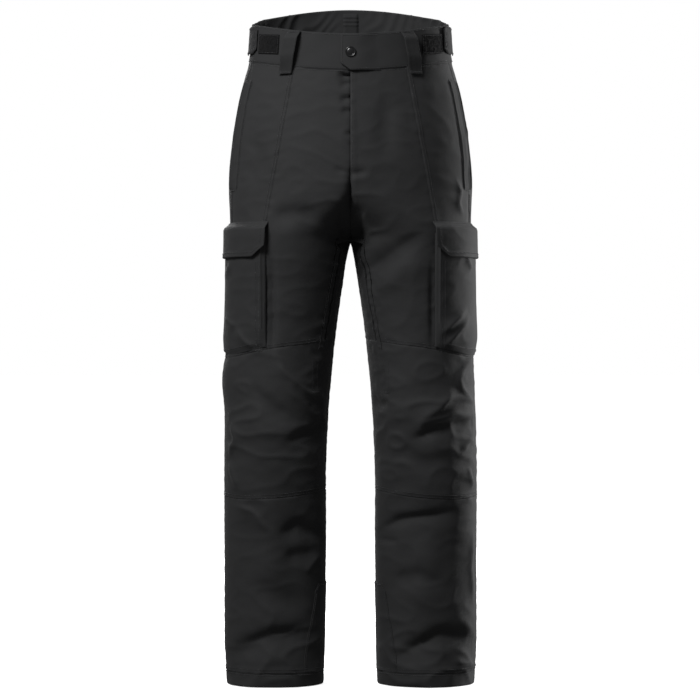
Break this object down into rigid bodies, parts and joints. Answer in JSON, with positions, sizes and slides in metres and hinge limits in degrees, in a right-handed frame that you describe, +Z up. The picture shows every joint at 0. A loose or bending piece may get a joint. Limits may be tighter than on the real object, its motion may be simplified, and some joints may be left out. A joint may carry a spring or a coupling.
{
  "type": "ski pants",
  "caption": "Straight-leg insulated ski pants with belt loops, side waist adjusters, zipped hand pockets, flapped cargo pockets, thigh vents and shaped knees.",
  "frame": {"origin": "centre of the waist opening, level with the snap fastener in front", "axes": "+Z up to the waist, +X to the wearer's left, -Y the way the wearer faces"},
  "size_m": [0.4178, 0.2745, 1.114],
  "materials": {
    "shell_fabric": "matt woven shell fabric, charcoal black",
    "trim_fabric": "matt reinforced fabric, black",
    "fuzzy_loop": "fuzzy hook-and-loop landing, deep black",
    "lining_fabric": "smooth taffeta lining",
    "zip_coil": "nylon coil on woven tape",
    "slider_metal": "black enamelled slider",
    "snap_metal": "black satin enamel"
  },
  "bodies": {
    "garment": {"back_band_patch": "trim_fabric", "back_panel_left": "shell_fabric", "back_panel_right": "shell_fabric", "belt_loop_centre_back": "trim_fabric", "belt_loop_front_left": "trim_fabric", "belt_loop_front_right": "trim_fabric", "belt_loop_rear_left": "trim_fabric", "belt_loop_rear_right": "trim_fabric", "cargo_pocket_left": "shell_fabric", "cargo_pocket_right": "shell_fabric", "fly_underlap": "trim_fabric", "fly_zip": "zip_coil", "front_panel_left": "shell_fabric", "front_panel_right": "shell_fabric", "hand_pocket_bag_left": "lining_fabric", "hand_pocket_bag_right": "lining_fabric", "hand_zip_left": "zip_coil", "hand_zip_right": "zip_coil", "hip_panel_left": "shell_fabric", "hip_panel_right": "shell_fabric", "inner_thigh_left": "shell_fabric", "inner_thigh_right": "shell_fabric", "knee_back_left": "shell_fabric", "knee_back_right": "shell_fabric", "knee_front_left": "shell_fabric", "knee_front_right": "shell_fabric", "loop_patch_left": "fuzzy_loop", "loop_patch_right": "fuzzy_loop", "snap_stud": "snap_metal", "vent_zip_left": "zip_coil", "vent_zip_right": "zip_coil", "waistband_back": "shell_fabric", "waistband_front_left": "shell_fabric", "waistband_front_right": "shell_fabric"},
    "lower_leg_right": {"shin_panel_right": "shell_fabric", "calf_panel_right": "shell_fabric", "kick_patch_right": "trim_fabric", "hem_cuff_right": "trim_fabric", "snow_gaiter_right": "lining_fabric"},
    "pocket_flap_right": {"cargo_flap_right": "shell_fabric"},
    "waist_adjuster_right": {"adjuster_tab_right": "trim_fabric"},
    "hand_zip_slider_right": {"hand_slider_right": "slider_metal"},
    "hand_zip_pull_right": {"hand_pull_right": "slider_metal"},
    "vent_zip_slider_right": {"vent_slider_right": "slider_metal"},
    "vent_zip_pull_right": {"vent_pull_right": "slider_metal"},
    "lower_leg_left": {"shin_panel_left": "shell_fabric", "calf_panel_left": "shell_fabric", "kick_patch_left": "trim_fabric", "hem_cuff_left": "trim_fabric", "snow_gaiter_left": "lining_fabric"},
    "pocket_flap_left": {"cargo_flap_left": "shell_fabric"},
    "waist_adjuster_left": {"adjuster_tab_left": "trim_fabric"},
    "hand_zip_slider_left": {"hand_slider_left": "slider_metal"},
    "hand_zip_pull_left": {"hand_pull_left": "slider_metal"},
    "vent_zip_slider_left": {"vent_slider_left": "slider_metal"},
    "vent_zip_pull_left": {"vent_pull_left": "slider_metal"},
    "front_tab": {"waist_tab": "shell_fabric", "snap_cap": "snap_metal"},
    "fly_zip_slider": {"fly_slider": "slider_metal"}
  },
  "joints": [
    {"name": "waist_tab_hinge", "type": "hinge", "parent": "garment", "child": "front_tab", "pos_m": [0.04649, -0.1061, 0], "axis": [0, 0, 1], "range_deg": [0, 70]},
    {"name": "fly_zip_slide", "type": "slide", "parent": "garment", "child": "fly_zip_slider", "axis": [0, -0.0924, -0.9957], "range_m": [0, 0.128]},
    {"name": "knee_right", "type": "hinge", "parent": "garment", "child": "lower_leg_right", "pos_m": [-0.12158, 0, -0.617], "axis": [1, 0, 0], "range_deg": [0, 75], "deforming": ["knee_front_right", "knee_back_right"]},
    {"name": "cargo_flap_hinge_right", "type": "hinge", "parent": "garment", "child": "pocket_flap_right", "pos_m": [-0.18484, -0.0535, -0.281], "axis": [-0.469, 0.8832, 0], "range_deg": [0, 85]},
    {"name": "adjuster_peel_right", "type": "hinge", "parent": "garment", "child": "waist_adjuster_right", "pos_m": [-0.16472, 0.00616, 0.0165], "axis": [0, 0, -1], "range_deg": [0, 90]},
    {"name": "hand_zip_slide_right", "type": "slide", "parent": "garment", "child": "hand_zip_slider_right", "axis": [-0.1337, -0.0216, -0.9908], "range_m": [0, 0.141]},
    {"name": "hand_pull_hinge_right", "type": "hinge", "parent": "hand_zip_slider_right", "child": "hand_zip_pull_right", "pos_m": [-0.16919, -0.03119, -0.05937], "axis": [-0.4142, 0.9095, 0.0361], "range_deg": [0, 135]},
    {"name": "vent_zip_slide_right", "type": "slide", "parent": "garment", "child": "vent_zip_slider_right", "axis": [-0.1746, 0.0059, -0.9846], "range_m": [0, 0.16]},
    {"name": "vent_pull_hinge_right", "type": "hinge", "parent": "vent_zip_slider_right", "child": "vent_zip_pull_right", "pos_m": [-0.02175, -0.05909, -0.30762], "axis": [-0.5294, -0.8437, 0.0888], "range_deg": [0, 120]},
    {"name": "knee_left", "type": "hinge", "parent": "garment", "child": "lower_leg_left", "pos_m": [0.12158, 0, -0.617], "axis": [1, 0, 0], "range_deg": [0, 75], "deforming": ["knee_front_left", "knee_back_left"]},
    {"name": "cargo_flap_hinge_left", "type": "hinge", "parent": "garment", "child": "pocket_flap_left", "pos_m": [0.18484, -0.0535, -0.281], "axis": [-0.469, -0.8832, 0], "range_deg": [0, 85]},
    {"name": "adjuster_peel_left", "type": "hinge", "parent": "garment", "child": "waist_adjuster_left", "pos_m": [0.16472, 0.00616, 0.0165], "axis": [0, 0, 1], "range_deg": [0, 90]},
    {"name": "hand_zip_slide_left", "type": "slide", "parent": "garment", "child": "hand_zip_slider_left", "axis": [0.1337, -0.0216, -0.9908], "range_m": [0, 0.141]},
    {"name": "hand_pull_hinge_left", "type": "hinge", "parent": "hand_zip_slider_left", "child": "hand_zip_pull_left", "pos_m": [0.16919, -0.03119, -0.05937], "axis": [-0.4142, -0.9095, -0.0361], "range_deg": [0, 135]},
    {"name": "vent_zip_slide_left", "type": "slide", "parent": "garment", "child": "vent_zip_slider_left", "axis": [0.1746, 0.0059, -0.9846], "range_m": [0, 0.16]},
    {"name": "vent_pull_hinge_left", "type": "hinge", "parent": "vent_zip_slider_left", "child": "vent_zip_pull_left", "pos_m": [0.02175, -0.05909, -0.30762], "axis": [-0.5294, 0.8437, -0.0888], "range_deg": [0, 120]}
  ]
}
